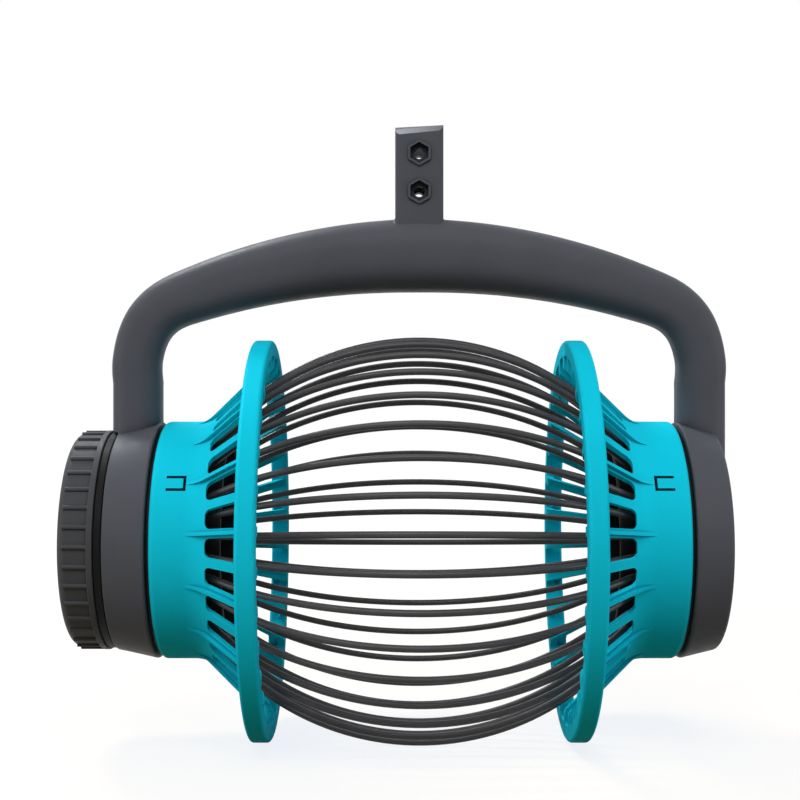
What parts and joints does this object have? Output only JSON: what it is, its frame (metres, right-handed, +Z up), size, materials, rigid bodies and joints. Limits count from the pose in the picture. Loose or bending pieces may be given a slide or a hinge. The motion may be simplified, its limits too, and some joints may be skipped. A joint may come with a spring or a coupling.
{
  "type": "nut collector",
  "caption": "Rolling cage collector head for nuts and windfall fruit: bowed rods between slotted flanges, turning in a handle yoke with a pole socket, with a ribbed outlet cap.",
  "frame": {"origin": "centre of the pole socket's mouth", "axes": "+Z up, out of the socket; +X along the roller axis, the outlet cap at -X; -Y the front"},
  "size_m": [0.3672, 0.229, 0.3474],
  "materials": {
    "yoke_grey": "fine moulded grain, dark grey",
    "cap_grey": "fine moulded grain, dark grey",
    "bearing_black": "smooth black moulding",
    "flange_cyan": "satin cyan moulding",
    "seal_rubber": "matt black rubber",
    "rod_black": "extruded rod, near black"
  },
  "bodies": {
    "yoke": {"handle_yoke": "yoke_grey", "right_stub": "bearing_black"},
    "basket": {"left_bell": "flange_cyan", "right_bell": "flange_cyan", "left_rod_ring": "bearing_black", "right_rod_ring": "bearing_black", "left_sleeve": "bearing_black", "cage_rod_01": "rod_black", "cage_rod_02": "rod_black", "cage_rod_03": "rod_black", "cage_rod_04": "rod_black", "cage_rod_05": "rod_black", "cage_rod_06": "rod_black", "cage_rod_07": "rod_black", "cage_rod_08": "rod_black", "cage_rod_09": "rod_black", "cage_rod_10": "rod_black", "cage_rod_11": "rod_black", "cage_rod_12": "rod_black", "cage_rod_13": "rod_black", "cage_rod_14": "rod_black", "cage_rod_15": "rod_black", "cage_rod_16": "rod_black", "cage_rod_17": "rod_black", "cage_rod_18": "rod_black", "cage_rod_19": "rod_black", "cage_rod_20": "rod_black", "cage_rod_21": "rod_black", "cage_rod_22": "rod_black", "cage_rod_23": "rod_black", "cage_rod_24": "rod_black", "cage_rod_25": "rod_black", "cage_rod_26": "rod_black", "cage_rod_27": "rod_black", "cage_rod_28": "rod_black", "cage_rod_29": "rod_black", "cage_rod_30": "rod_black", "cage_rod_31": "rod_black", "cage_rod_32": "rod_black", "cage_rod_33": "rod_black", "cage_rod_34": "rod_black", "cage_rod_35": "rod_black", "cage_rod_36": "rod_black"},
    "cap_ring": {"cap_seal": "seal_rubber"},
    "cap": {"outlet_cap": "cap_grey"}
  },
  "joints": [
    {"name": "basket_spin", "type": "hinge", "parent": "yoke", "child": "basket", "pos_m": [0, 0, -0.2329], "axis": [1, 0, 0], "continuous": true},
    {"name": "cap_pull", "type": "slide", "parent": "basket", "child": "cap_ring", "axis": [-1, 0, 0], "range_m": [0, 0.045]},
    {"name": "cap_turn", "type": "hinge", "parent": "cap_ring", "child": "cap", "pos_m": [-0.17, 0, -0.2329], "axis": [1, 0, 0], "range_deg": [0, 25]}
  ]
}
